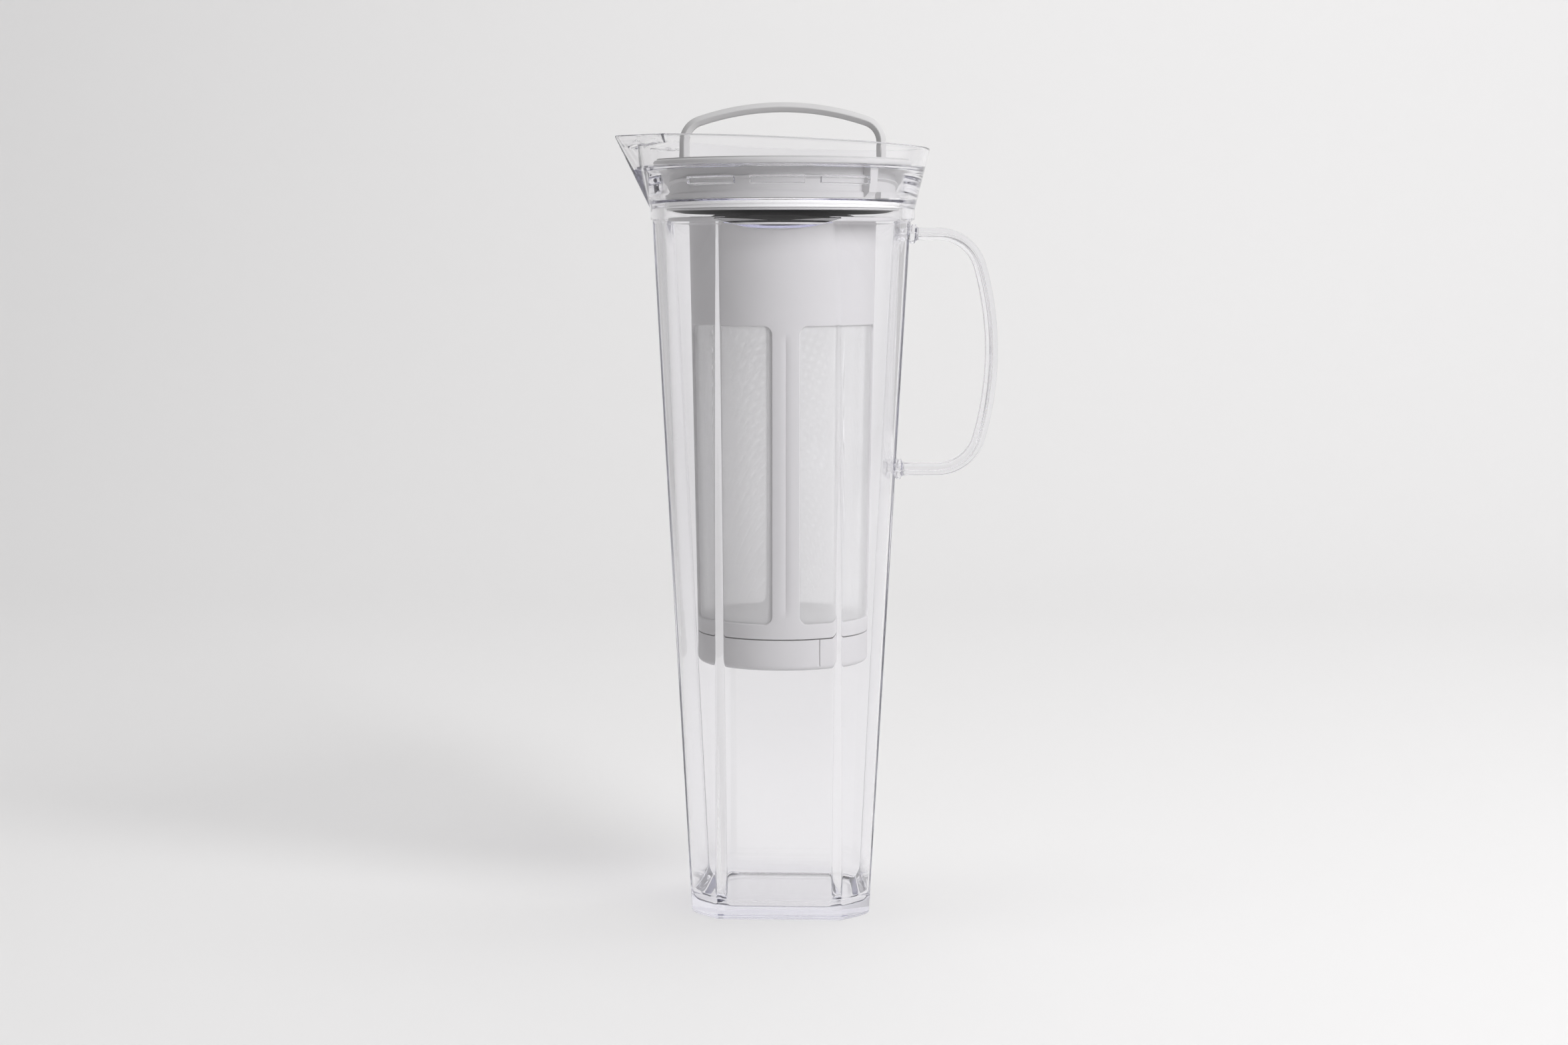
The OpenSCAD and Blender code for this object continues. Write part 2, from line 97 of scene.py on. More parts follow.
# rows of radius and height, each a number or one value per column, turned round the axis at the given angles
def spun(rows, theta):
    r = np.stack([np.broadcast_to(row[0], theta.shape[-1:]) for row in rows])
    z = np.stack([np.broadcast_to(row[1], theta.shape[-1:]) for row in rows])
    turn = np.broadcast_to(np.radians(theta), r.shape)
    return np.stack([r * np.cos(turn), r * np.sin(turn), z], axis=-1)


# evenly spaced angles with a pair of close ones at each edge, so that a step in the radius stands upright
def stepAngles(count, edges, width=0.25):
    plain = np.arange(count) * 360.0 / count
    marks = np.array(edges, float) % 360
    far = np.abs((plain[:, None] - marks[None, :] + 180) % 360 - 180).min(1) > 2 * width if len(marks) else plain > -1
    return np.sort(np.concatenate([plain[far], (marks - width / 2) % 360, (marks + width / 2) % 360]))


# 1 inside any of the angle spans, 0 outside
def inSpans(theta, spans):
    return np.array([((theta - lo) % 360) <= (hi - lo) for lo, hi in spans]).any(0)


# the lower of several surfaces with a soft crease: -k log of the sum of exp(-value / k)
def softMin(k, *values):
    stack = np.stack(np.broadcast_arrays(*values))
    low = stack.min(0)
    return low - k * np.log(np.exp(-(stack - low) / k).sum(0))


def softMax(k, a, b):
    return -softMin(k, -np.asarray(a, float), -np.asarray(b, float))


def newMaterial(name):
    material = bpy.data.materials.new(name)
    material.use_nodes = True
    tree = material.node_tree
    return material, tree, tree.nodes["Principled BSDF"]


# links, each given as a node and its output, and a node and its input
def wire(tree, *links):
    for source, out, target, into in links:
        tree.links.new(source.outputs[out], target.inputs[into])


# fixed values for a node's inputs, by name or by place
def fix(node, values):
    for socket, value in values.items():
        node.inputs[socket].default_value = value
    return node


# a node that carries one range of values over to another
def rangeNode(tree, source=(0, 1), target=(0, 1)):
    ends = zip(("From Min", "From Max", "To Min", "To Max"), (*source, *target))
    return fix(tree.nodes.new("ShaderNodeMapRange"), dict(ends))


# a math node with some of its inputs fixed
def mathNode(tree, operation, fixed={}):
    node = fix(tree.nodes.new("ShaderNodeMath"), fixed)
    node.operation = operation
    return node


grainLook = dict(fineDetail=3, broadScale=45, broadDetail=2, roughness=(0.36, 0.52), reliefDepth=0.2)


# a fine moulded grain: a height for bump, a slight mottle for colour and one for roughness
def mouldedGrain():
    group = bpy.data.node_groups.new("mouldedGrain", "ShaderNodeTree")
    for name in ("Scale", "Mottle"):
        group.interface.new_socket(name, in_out="INPUT", socket_type="NodeSocketFloat")
    group.interface.new_socket("Colour", in_out="INPUT", socket_type="NodeSocketColor")
    group.interface.new_socket("Colour", in_out="OUTPUT", socket_type="NodeSocketColor")
    for name in ("Height", "Roughness"):
        group.interface.new_socket(name, in_out="OUTPUT", socket_type="NodeSocketFloat")
    nodes = group.nodes
    source, sink = nodes.new("NodeGroupInput"), nodes.new("NodeGroupOutput")
    where = nodes.new("ShaderNodeTexCoord")
    fine, broad = nodes.new("ShaderNodeTexNoise"), nodes.new("ShaderNodeTexNoise")
    fix(fine, {"Detail": grainLook["fineDetail"]})
    fix(broad, {"Scale": grainLook["broadScale"], "Detail": grainLook["broadDetail"]})
    shade = nodes.new("ShaderNodeHueSaturation")
    lift = mathNode(group, "MULTIPLY_ADD", {2: 1.0})
    centred = mathNode(group, "SUBTRACT", {1: 0.5})
    rough = rangeNode(group, target=grainLook["roughness"])
    for noise in (fine, broad):
        wire(group, (where, "Object", noise, "Vector"))
    wire(group, (source, "Scale", fine, "Scale"), (broad, 0, centred, 0), (centred, 0, lift, 0),
         (source, "Mottle", lift, 1), (lift, 0, shade, "Value"), (source, "Colour", shade, "Color"),
         (fine, 0, rough, "Value"), (shade, "Color", sink, "Colour"), (fine, 0, sink, "Height"),
         (rough, "Result", sink, "Roughness"))
    return group


grain = mouldedGrain()


def mouldedPlastic(name, colour, scale=2600, mottle=0.05, bump=0.04, specular=0.45):
    material, tree, shader = newMaterial(name)
    texture = tree.nodes.new("ShaderNodeGroup")
    texture.node_tree = grain
    fix(texture, {"Scale": scale, "Mottle": mottle, "Colour": (*colour, 1)})
    relief = tree.nodes.new("ShaderNodeBump")
    fix(relief, {"Strength": bump, "Distance": grainLook["reliefDepth"] * mm})
    wire(tree, (texture, "Colour", shader, "Base Color"), (texture, "Roughness", shader, "Roughness"),
         (texture, "Height", relief, "Height"), (relief, "Normal", shader, "Normal"))
    fix(shader, {"Specular IOR Level": specular})
    return material


clear = dict(colour=(0.995, 0.993, 1.0), ior=1.53, tint=(0.60, 0.60, 0.90), density=3.2,
             sheer=(0.985, 0.984, 0.987), hazeScale=60, hazeFrom=(0.35, 0.75), hazeTo=(0.0, 0.025))


def clearPlastic(name):
    material, tree, shader = newMaterial(name)
    fix(shader, {"Base Color": (*clear["colour"], 1), "Transmission Weight": 1.0, "IOR": clear["ior"]})
    where = tree.nodes.new("ShaderNodeTexCoord")
    haze = tree.nodes.new("ShaderNodeTexNoise")   # faint polish marks
    fix(haze, {"Scale": clear["hazeScale"]})
    level = rangeNode(tree, clear["hazeFrom"], clear["hazeTo"])
    wire(tree, (where, "Object", haze, "Vector"), (haze, 0, level, "Value"), (level, "Result", shader, "Roughness"))
    body = tree.nodes.new("ShaderNodeVolumeAbsorption")
    fix(body, {"Color": (*clear["tint"], 1), "Density": clear["density"]})
    sheer = tree.nodes.new("ShaderNodeBsdfTransparent")
    fix(sheer, {"Color": (*clear["sheer"], 1)})
    path = tree.nodes.new("ShaderNodeLightPath")
    straight = mathNode(tree, "MAXIMUM")
    mix = tree.nodes.new("ShaderNodeMixShader")   # lets light through to the pieces inside
    out = tree.nodes["Material Output"]
    wire(tree, (path, "Is Shadow Ray", straight, 0), (path, "Is Diffuse Ray", straight, 1),
         (straight, 0, mix, "Fac"), (shader, "BSDF", mix, 1), (sheer, "BSDF", mix, 2),
         (mix, "Shader", out, "Surface"), (body, "Volume", out, "Volume"))
    return material


nylon = dict(colour=(0.965, 0.96, 0.965), pitch=0.22, wavesPerPitch=0.314, thread=(0.45, 1.0), cover=(0.06, 0.75),
             glow=0.8, glowReach=1.5, roughness=(0.55, 0.40), relief=0.15, reliefDepth=0.1)


# threads of the mesh: two waves along the panel's own length and width, crossing over and under; light passes from
# one side to the other
def nylonMesh(name):
    material, tree, shader = newMaterial(name)
    uv = tree.nodes.new("ShaderNodeTexCoord")
    waves = []
    for axis in ("X", "Y"):
        wave = tree.nodes.new("ShaderNodeTexWave")
        wave.wave_type = "BANDS"
        wave.bands_direction = axis
        fix(wave, {"Scale": nylon["wavesPerPitch"] / (nylon["pitch"] * mm)})
        wire(tree, (uv, "UV", wave, "Vector"))
        waves.append(wave)
    thread = mathNode(tree, "MAXIMUM")
    for k, wave in enumerate(waves):
        wire(tree, (wave, "Fac", thread, k))
    cover = rangeNode(tree, nylon["thread"], nylon["cover"])
    tone = rangeNode(tree, target=nylon["roughness"])
    relief = tree.nodes.new("ShaderNodeBump")
    fix(relief, {"Strength": nylon["relief"], "Distance": nylon["reliefDepth"] * mm})
    fix(shader, {"Base Color": (*nylon["colour"], 1), "Subsurface Weight": nylon["glow"],
                 "Subsurface Radius": (1, 1, 1), "Subsurface Scale": nylon["glowReach"] * mm})
    wire(tree, (thread, 0, cover, "Value"), (thread, 0, tone, "Value"), (thread, 0, relief, "Height"),
         (cover, "Result", shader, "Alpha"), (tone, "Result", shader, "Roughness"),
         (relief, "Normal", shader, "Normal"))
    return material


clearJug = clearPlastic("clearJug")
greyLid = mouldedPlastic("greyLid", (0.55, 0.545, 0.55))
greyStrainer = mouldedPlastic("greyStrainer", (0.58, 0.572, 0.58))
# painted shade: near black, it stands for the shade in the narrow gap between the lid's underside and the strainer's
# flange
paintedShadeUnderside = mouldedPlastic("paintedShadeUnderside", (0.008, 0.008, 0.009), scale=1500, mottle=0.1, specular=0.08)
whiteSilicone = mouldedPlastic("whiteSilicone", (0.93, 0.925, 0.925), scale=900, mottle=0.02, specular=0.3)
panelNylon = nylonMesh("panelNylon")
print("materials ready")


jug = dict(
    waistZ=258.0, neckZ=261.5, seatZ=256.0, landZ=264.4, ledgeZ=276.2, rimZ=285.7, floorZ=4.0,
    baseSide=33.0, baseFront=32.0, baseCorner=39.4, sideHalf=12.5, panelHalf=22.4, waistR=49.0,
    baseWall=2.7, cornerWall=4.4, flatWall=4.7, baseEdge=1.8, floorEdge=6.0,
    runout=4.2, band=0.5, crease=0.12, landR=43.9, boreR=46.2, flare=14.0, rimSlope=2.4, rimWall=1.8, rimRound=0.6,
    spoutReach=7.4, spoutHalf=20.0, spoutTop=287.7, spoutEdge=1.3, spoutCrease=0.06, soft=0.3, pair=0.05,
    lugR=44.3, lugZ=270.4, lugH=2.3, lugSpan=85.0, lugBars=3, lugGap=7.5, lugEdge=0.35,
    socketZ=(252.0, 165.0), socketHigh=2.4, socketWide=5.6, socketFloor=1.3)
spoutOut = dict(inset=0.0, footR=48.7, footZ=259.2)
spoutIn = dict(inset=1.7, footR=53.6, footZ=276.0)
jug["waistSide"] = math.sqrt(jug["waistR"] ** 2 - jug["sideHalf"] ** 2)
jug["waistFront"] = math.sqrt(jug["waistR"] ** 2 - jug["panelHalf"] ** 2)
outLow = (jug["baseSide"], jug["baseFront"], jug["baseCorner"])
outHigh = (jug["waistSide"], jug["waistFront"], jug["waistR"])
inLow = (outLow[0] - jug["baseWall"], outLow[1] - jug["baseWall"], outLow[2] - jug["cornerWall"])
inHigh = (outHigh[0] - jug["flatWall"], outHigh[1] - jug["flatWall"], jug["landR"])
sideCols, cornerCols, frontCols = 20, 44, 24


def taper(low, high, z):
    return low + (high - low) * z / jug["waistZ"]


# half width of a slanting wall that turns into the floor through an arc of the given radius
def footedWidth(low, high, z, floorZ, edge):
    lean = math.atan((high - low) / jug["waistZ"])
    inset = taper(low, high, floorZ) - edge * (1 - math.sin(lean)) / math.cos(lean)
    rise = np.clip(z - floorZ, 0, edge)
    arc = inset + np.sqrt(edge ** 2 - (edge - rise) ** 2)
    return np.where(z - floorZ < edge * (1 - math.sin(lean)), arc, taper(low, high, z))


# radius of the four-sided body at an angle: the nearest of the side wall, the front wall and the round corner
def bodyRadius(z, theta, low, high, floorZ, edge):
    side, front, corner = (footedWidth(lo, hi, z, floorZ, edge) for lo, hi in zip(low, high))
    across = np.maximum(np.abs(np.cos(np.radians(theta))), 1e-3)
    along = np.maximum(np.abs(np.sin(np.radians(theta))), 1e-3)
    return softMin(jug["crease"], side / across, front / along, corner + 0 * theta)


# columns that follow the creases: part of the angles lie on the side wall, part on the corner, part on the front
# wall; a close pair on the side wall stands at the edge of the handle's sockets
def bodyColumns(z, low, high):
    side, front, corner = (taper(lo, hi, z) for lo, hi in zip(low, high))
    sideTurn = math.degrees(math.acos(min(side / corner, 1)))
    frontTurn = math.degrees(math.acos(min(front / corner, 1)))
    inner, outer = jug["socketWide"] - jug["pair"], jug["socketWide"] + jug["pair"]
    toEdge = 1 - (1 - np.linspace(0, 1, sideCols - 8)) ** 1.7
    kinkY = side * math.tan(math.radians(sideTurn))
    y = np.concatenate([np.linspace(0, inner, 9), outer + (kinkY - outer) * toEdge])
    between = np.linspace(0, 1, cornerCols + 1)
    between = 0.35 * between + 0.65 * (0.5 - 0.5 * np.cos(np.pi * between))
    fromEdge = np.linspace(0, 1, frontCols + 1) ** 1.7
    q = np.concatenate([np.degrees(np.arctan2(y, side))[:-1], sideTurn + (90 - sideTurn - frontTurn) * between[:-1],
                        90 - frontTurn * (1 - fromEdge)])
    return fullTurn(q, q)


# a quarter's angles laid out over the whole turn; the quarters beside the spout may have their own
def fullTurn(q, spoutQ):
    return np.concatenate([q[:-1], 180 - spoutQ[::-1][:-1], 180 + spoutQ[:-1], 360 - q[::-1][:-1]])


# distance from the axis to the spout's face at an angle from its ridge; the face runs from the ridge to the root
def spoutRadius(phi, z, face):
    top = coneRadius(jug["spoutTop"], 0.0)
    t = np.maximum((z - face["footZ"]) / (jug["spoutTop"] - face["footZ"]), 1e-3)
    ridge = face["footR"] + t * (top + jug["spoutReach"] - face["inset"] - face["footR"])
    rootX = face["footR"] + t * (math.sqrt(top ** 2 - jug["spoutHalf"] ** 2) - face["inset"] - face["footR"])
    rootY = t * jug["spoutHalf"]
    a = np.radians(np.sqrt(np.minimum(phi, 45) ** 2 + jug["spoutEdge"] ** 2))
    r = ridge * rootY / np.maximum(np.cos(a) * rootY - np.sin(a) * (rootX - ridge), 1e-6)
    return np.where((z > face["footZ"]) & (phi < 42), r, 0)


# radius of the collar: upright along the neck, then a cone
def coneRadius(z, inset):
    return jug["waistR"] + np.maximum(z - jug["neckZ"], 0) * math.tan(math.radians(jug["flare"])) - inset


def fromSpout(theta):
    return np.abs(theta % 360 - 180)


def collarRadius(z, theta, inset, face):
    spout = spoutRadius(fromSpout(theta), z + 0 * theta, face)
    return softMax(jug["spoutCrease"], coneRadius(z, inset) + 0 * theta, spout)


# columns of the collar: close pairs at the ends of the lugs, and a column on the crease beside the spout
def collarColumns(z, inset, spout):
    width = 0.12
    bar = (jug["lugSpan"] - (jug["lugBars"] - 1) * jug["lugGap"]) / jug["lugBars"]
    lugStart = 90 - jug["lugSpan"] / 2
    ends = np.array([lugStart, lugStart + bar, lugStart + bar + jug["lugGap"]])
    stops = np.concatenate([[0], np.stack([ends - width, ends + width], 1).ravel(), [90]])
    counts = [46, 1, 20, 1, 8, 1, 11]
    spread = lambda marks, numbers: np.concatenate(
        [np.linspace(a, b, n + 1)[:-1] for a, b, n in zip(marks[:-1], marks[1:], numbers)] + [[marks[-1]]])
    phi = np.linspace(0, 40, 400)
    over = spoutRadius(phi, z, spout) > coneRadius(z, inset)
    crease = max(phi[over].max() if over.any() else 0, 5.0)
    q = spread(stops, counts)
    face = crease * (0.5 - 0.5 * np.cos(np.pi * np.linspace(0, 1, 25)))   # close at the ridge and at the crease
    beside = crease + (stops[1] - crease) * np.linspace(0, 1, 23) ** 1.8
    return fullTurn(q, np.concatenate([face[:-1], beside[:-1], q[counts[0]:]]))


# the jug as rings: up the outside from the middle of the base, over the rim and down the inside to the floor
def jugRings():
    rings = []
    edge, soft, pair = jug["baseEdge"], jug["soft"], jug["pair"]

    def add(r, z, theta):
        r, z = np.broadcast_to(r, theta.shape), np.broadcast_to(z, theta.shape)
        a = np.radians(theta)
        rings.append(np.stack([r * np.cos(a), r * np.sin(a), z], axis=1))

    def pressSockets(ring):
        x, y, z = ring.T
        level = np.abs(z[:, None] - np.array(jug["socketZ"])).min(1)
        inSocket = (x > 0) & (np.abs(y) < jug["socketWide"]) & (level < jug["socketHigh"])
        ring[:, 0] = np.where(inSocket, taper(inLow[0], inHigh[0], z) + jug["socketFloor"], x)

    cols = bodyColumns(edge, outLow, outHigh)
    for f in (0.0, 0.3, 0.6, 0.85, 0.96):
        add(f * bodyRadius(0.0 * cols, cols, outLow, outHigh, 0, edge), 0.0, cols)
    for a in np.linspace(0, 90, 12):
        z = edge * (1 - math.cos(math.radians(a)))
        add(bodyRadius(z + 0 * cols, cols, outLow, outHigh, 0, edge), z, cols)
    # where each flat wall meets the cone on which it runs out
    slope = (jug["waistR"] - jug["waistFront"]) / jug["runout"]
    top = jug["waistZ"] - jug["band"]
    apex = top - jug["waistR"] / slope
    meets = lambda low, high, reach: (low / reach + slope * apex) / (slope - (high - low) / jug["waistZ"] / reach)
    across = lambda theta: np.maximum(np.abs(np.cos(np.radians(theta))), 0.3)
    along = lambda theta: np.maximum(np.abs(np.sin(np.radians(theta))), 0.3)
    creaseZ = lambda theta: np.minimum(np.minimum(meets(outLow[0], outHigh[0], across(theta)),
                                                  meets(outLow[1], outHigh[1], along(theta))), top)
    flat = lambda z, theta: bodyRadius(z, theta, outLow, outHigh, 0, edge)
    wall = lambda z, theta: np.minimum(softMax(pair, flat(z, theta), slope * (z - apex)),
                                       taper(outLow[2], outHigh[2], z))
    # rows of the outer wall: the upper ones stretch to follow the crease, and close pairs stand at the sockets' edges
    free, high = 240.0, 252.8
    flatTop = lambda theta: creaseZ(np.where(np.abs(np.sin(np.radians(theta))) < 0.13, 0, theta)) - 0.5
    sideTop = float(flatTop(np.zeros(1))[0])
    toRow = lambda z: free + (z - free) * (high - free) / (sideTop - free) if z > free else z
    marks = np.array([toRow(z + s * jug["socketHigh"] + d)
                      for z in jug["socketZ"] for s in (-1, 1) for d in (-pair, pair)])
    plain = np.linspace(edge, high, 28)[1:]
    plain = plain[np.abs(plain[:, None] - marks[None, :]).min(1) > 0.5]
    for row in np.sort(np.concatenate([plain, marks])):
        cols = bodyColumns(row, outLow, outHigh)
        z = row + 0 * cols if row < free else free + (row - free) * (flatTop(cols) - free) / (high - free)
        add(wall(z, cols), z, cols)
        pressSockets(rings[-1])
    for d in (-0.25, -0.1, 0.0, 0.1, 0.25):
        z = creaseZ(cols) + d
        add(wall(z, cols), z, cols)
    for f in np.linspace(0, 1, 8)[1:]:
        z = creaseZ(cols) + 0.25 + f * (jug["waistZ"] - creaseZ(cols) - 0.25)
        add(wall(z, cols), z, cols)
    # neck, along which the columns shift from the body's to the collar's
    there = collarColumns(jug["neckZ"], 0.0, spoutOut)
    for f in np.linspace(0, 1, 7)[1:]:
        z = jug["waistZ"] + f * (jug["neckZ"] - 3 * pair - jug["waistZ"])
        theta = cols * (1 - f) + there * f
        add(collarRadius(z, theta, 0.0, spoutOut), z, theta)
    # collar outside, up to the tilted rim
    rimTilt = math.tan(math.radians(jug["rimSlope"]))
    rho = jug["rimRound"]
    outer = lambda z, theta: collarRadius(z, theta, 0.0, spoutOut)
    inner = lambda z, theta: collarRadius(z, theta, jug["rimWall"], spoutIn)

    def rimHeight(theta, radius):
        z = jug["rimZ"] + 0 * theta
        for _ in range(4):
            z = jug["rimZ"] - radius(z, theta) * np.cos(np.radians(theta)) * rimTilt
        return z

    foot = jug["neckZ"] + 3 * pair
    spoutRim = jug["rimZ"] + (coneRadius(jug["spoutTop"], 0.0) + jug["spoutReach"]) * rimTilt
    for f in np.linspace(0, 1, 30):
        theta = collarColumns(foot + f * (spoutRim - foot), 0.0, spoutOut)
        z = foot + f * (rimHeight(theta, outer) - rho - foot)
        add(outer(z, theta), z, theta)
    for a in np.radians(np.linspace(0, 90, 6)[1:]):
        add(outer(z, theta) - rho * (1 - math.cos(a)), z + rho * math.sin(a), theta)
    theta = collarColumns(spoutRim, jug["rimWall"], spoutIn)
    rim = rimHeight(theta, inner) - rho
    for a in np.radians(np.linspace(90, 0, 6)):
        add(inner(rim, theta) + rho * (1 - math.cos(a)), rim + rho * math.sin(a), theta)
    # collar inside, down to the ledge
    ledge = jug["ledgeZ"]
    for f in np.linspace(0, 1, 14)[1:]:
        theta = collarColumns(spoutRim + f * (ledge - spoutRim), jug["rimWall"], spoutIn)
        z = rim + f * (ledge + soft - rim)
        add(inner(z, theta), z, theta)
    wide, narrow = coneRadius(ledge, jug["rimWall"]), jug["boreR"]
    for r, z in ((wide - 0.1, ledge + 0.1), (wide - soft, ledge), (0.5 * (wide + narrow), ledge),
                 (narrow + soft, ledge), (narrow + 0.1, ledge - 0.1), (narrow, ledge - soft)):
        add(r, z, theta)
    # bore, with the bars of the lugs standing in from it
    bar = (jug["lugSpan"] - (jug["lugBars"] - 1) * jug["lugGap"]) / jug["lugBars"]
    starts = [side - jug["lugSpan"] / 2 + k * (bar + jug["lugGap"])
              for side in (-90, 90) for k in range(jug["lugBars"])]
    onBar = inSpans(theta, [(s, s + bar) for s in starts])
    deep = jug["boreR"] - jug["lugR"]
    lugTop, lugLow, e = jug["lugZ"] + jug["lugH"], jug["lugZ"], jug["lugEdge"]
    for z, out in ((0.5 * (ledge + lugTop), 0), (lugTop + soft, 0), (lugTop + 0.1, 0.1), (lugTop, soft),
                   (lugTop, deep - e), (lugTop - 0.3 * e, deep - 0.3 * e), (lugTop - e, deep), (lugLow + e, deep),
                   (lugLow + 0.3 * e, deep - 0.3 * e), (lugLow, deep - e), (lugLow, soft), (lugLow - 0.1, 0.1),
                   (lugLow - soft, 0), (0.5 * (lugLow + jug["landZ"]), 0), (jug["landZ"] + soft, 0)):
        add(jug["boreR"] - onBar * out, z, theta)
    landR = jug["landR"]
    for r, z in ((jug["boreR"] - soft, jug["landZ"]), (landR + soft, jug["landZ"]), (landR, jug["landZ"] - soft)):
        add(r, z, theta)
    cols = bodyColumns(jug["seatZ"], inLow, inHigh)
    seat = jug["seatZ"] + soft
    for f in np.linspace(0, 1, 7)[1:]:
        add(landR, jug["landZ"] - soft - f * (jug["landZ"] - soft - seat), theta * (1 - f) + cols * f)
    # seat, inner walls and floor
    inside = lambda z: np.minimum(
        bodyRadius(z + 0 * cols, cols, inLow, inHigh, jug["floorZ"], jug["floorEdge"]), landR)
    seatR = inside(jug["seatZ"])
    brink = np.maximum(seatR, landR - soft)
    add(brink, jug["seatZ"], cols)
    add(np.minimum(seatR + soft, brink), jug["seatZ"], cols)
    add(seatR, jug["seatZ"] - soft, cols)
    low = jug["floorZ"] + jug["floorEdge"]
    for f in np.linspace(0, 1, 25)[1:]:
        z = jug["seatZ"] - soft + f * (low - jug["seatZ"] + soft)
        cols = bodyColumns(z, inLow, inHigh)
        add(inside(z), z, cols)
    for a in np.linspace(90, 0, 12)[1:]:
        z = jug["floorZ"] + jug["floorEdge"] * (1 - math.cos(math.radians(a)))
        add(inside(z), z, cols)
    for f in (0.9, 0.6, 0.3, 0.0):
        add(f * inside(jug["floorZ"]), jug["floorZ"], cols)
    return np.stack(rings)


rings = jugRings()
putPiece("jugBody", rings, gridQuads(*rings.shape[:2]), "jug", clearJug, "jug_body", sharp=50)


handle = dict(
    reach=79.8, thick=4.6, wide=11.0, bend=16.0, bow=115.0, edge=2.1, outEdge=0.35, flange=2.0, step=1.1, inEdge=0.3,
    sectionSteps=7, tipGap=0.25,
    root=((0.1, 0.0), (0.1, 0.9), (0.4, 1.2), (1.7, 1.2), (2.05, 1.05), (2.2, 0.75), (2.35, 0.4), (2.7, 0.1),
          (3.2, 0.0)))   # distance from the wall, swell


# points of an arc in the x-z plane
def arcPoints(centre, radius, start, end, steps):
    a = np.radians(np.linspace(start, end, steps))
    return np.stack([centre[0] + radius * np.cos(a), centre[1] + radius * np.sin(a)], axis=1)


# a section (offset square to the path, offset along y) carried along a path in the x-z plane, with scales per point
def sweptRings(path, section, scale=None):
    heading = np.gradient(path, axis=0)
    heading /= np.linalg.norm(heading, axis=1, keepdims=True)
    outward = np.stack([heading[:, 1], -heading[:, 0]], axis=1)
    scale = np.ones((len(path), 2)) if scale is None else scale
    off = section[None, :, 0] * scale[:, :1]
    x = path[:, :1] + outward[:, :1] * off
    z = path[:, 1:] + outward[:, 1:] * off
    y = section[None, :, 1] * scale[:, 1:] + 0 * x
    return np.stack([x, y, z], axis=-1)


def sweptFaces(count, around):
    ends = [list(range(around))[::-1], [(count - 1) * around + j for j in range(around)]]
    return [list(f) for f in gridQuads(count, around)] + ends


# a strap along two arms, two bends and a bow; each arm starts as a peg in its socket and swells to a root on the wall
def makeHandle():
    h = handle
    top, low = jug["socketZ"]
    midZ = 0.5 * (top + low)
    bowX = h["reach"] - h["thick"] / 2 - h["bow"]
    bendZ = 0.5 * (top - low) - h["bend"]
    bendX = bowX + math.sqrt((h["bow"] - h["bend"]) ** 2 - bendZ ** 2)
    turn = math.degrees(math.asin(bendZ / (h["bow"] - h["bend"])))
    wallX = lambda z: taper(outLow[0], outHigh[0], z)

    def arm(z):
        depth = wallX(z) - taper(inLow[0], inHigh[0], z) - jug["socketFloor"] - h["tipGap"]
        root = np.array([(-depth, -0.25), (0.25 - depth, 0.0), *h["root"]])
        bare = np.linspace(wallX(z) + root[-1, 0], bendX, 7)[1:-1]
        x = np.concatenate([wallX(z) + root[:, 0], bare])
        away = np.concatenate([root[:, 0], np.full(len(bare), np.inf)])
        swell = np.concatenate([root[:, 1], np.zeros(len(bare))])
        return np.stack([x, np.full(len(x), z)], axis=1), away, swell

    upper, upperAway, upperSwell = arm(top)
    lower, lowerAway, lowerSwell = arm(low)
    bends = np.concatenate([arcPoints((bendX, midZ + bendZ), h["bend"], 90, turn, 18)[:-1],
                            arcPoints((bowX, midZ), h["bow"], turn, -turn, 25)[:-1],
                            arcPoints((bendX, midZ - bendZ), h["bend"], -turn, -90, 18)])
    path = np.concatenate([upper, bends, lower[::-1]])
    away = np.concatenate([upperAway, np.full(len(bends), np.inf), lowerAway[::-1]])
    swell = np.concatenate([upperSwell, np.zeros(len(bends)), lowerSwell[::-1]])
    t, w, e = h["thick"] / 2, h["wide"] / 2, h["edge"]
    # offsets below zero lie on the outside of the bow: a crisp flange there, a softer web on the inside
    o, i, s, web = h["outEdge"], h["inEdge"], h["flange"] - t, w - h["step"]
    section = roundedOutline([(t, -web, e), (t, web, e), (s, web, i), (s, w, o), (-t, w, o), (-t, -w, o), (s, -w, o),
                              (s, -web, i)], steps=h["sectionSteps"])
    shape = sweptRings(path, section, np.stack([1 + swell / t, 1 + swell / w], axis=1))
    nearWall = np.isfinite(away)   # these rings lean with the wall
    shape[nearWall, :, 0] = wallX(shape[nearWall, :, 2]) + away[nearWall, None]
    faces = sweptFaces(len(path), len(section))
    putPiece("handle", shape, faces, "jug", clearJug, "handle", sharp=60)


makeHandle()


strainer = dict(flangeR=42.5, flangeZ=256.3, flangeT=1.8, topR=34.6, lowR=31.86, ringZ=105.0, windowZ=110.5,
                windowTop=218.9, wall=2.0, ribHalf=5.2, corner=3.0, edge=0.5, spigotR=29.56, spigotZ=98.3,
                meetLow=107.6, meetHigh=224.0, ribTurn=4.4, mouldLine=0.16)


def sleeveR(z):
    s = strainer
    return s["lowR"] + (s["topR"] - s["lowR"]) * (z - s["ringZ"]) / (s["flangeZ"] - s["ringZ"])


